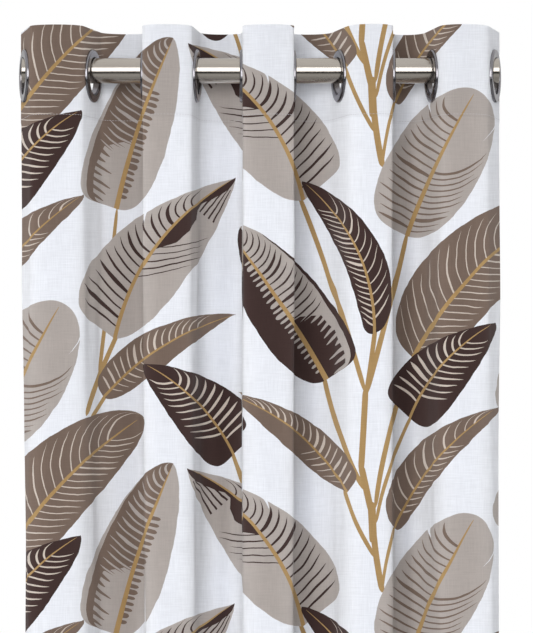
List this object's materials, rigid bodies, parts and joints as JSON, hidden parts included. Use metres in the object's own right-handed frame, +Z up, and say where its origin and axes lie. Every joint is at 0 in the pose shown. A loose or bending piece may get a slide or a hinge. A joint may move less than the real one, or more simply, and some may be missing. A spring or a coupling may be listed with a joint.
{
  "type": "eyelet curtain on a curtain rod",
  "caption": "Printed linen-look eyelet curtain hanging in even upright folds from a plain round rod, with metal-look eyelet rings in its turned heading.",
  "frame": {"origin": "middle of the rod's left end face, as seen from the room", "axes": "+X along the rod to the right as seen from the room, +Y from the room towards the window, +Z up"},
  "size_m": [0.5356, 0.1165, 1.6],
  "materials": {
    "linen_cloth": "white linen-look weave printed with leaves in taupe, dark brown, grey-beige and ochre",
    "eyelet_metal": "satin pewter",
    "rod_metal": "satin, brushed along its length"
  },
  "bodies": {
    "root": {"curtain_panel": "linen_cloth", "eyelet_01": "eyelet_metal", "eyelet_02": "eyelet_metal", "eyelet_03": "eyelet_metal", "eyelet_04": "eyelet_metal", "eyelet_05": "eyelet_metal", "eyelet_06": "eyelet_metal", "eyelet_07": "eyelet_metal", "eyelet_08": "eyelet_metal", "eyelet_09": "eyelet_metal", "eyelet_10": "eyelet_metal", "curtain_rod": "rod_metal"}
  },
  "joints": []
}
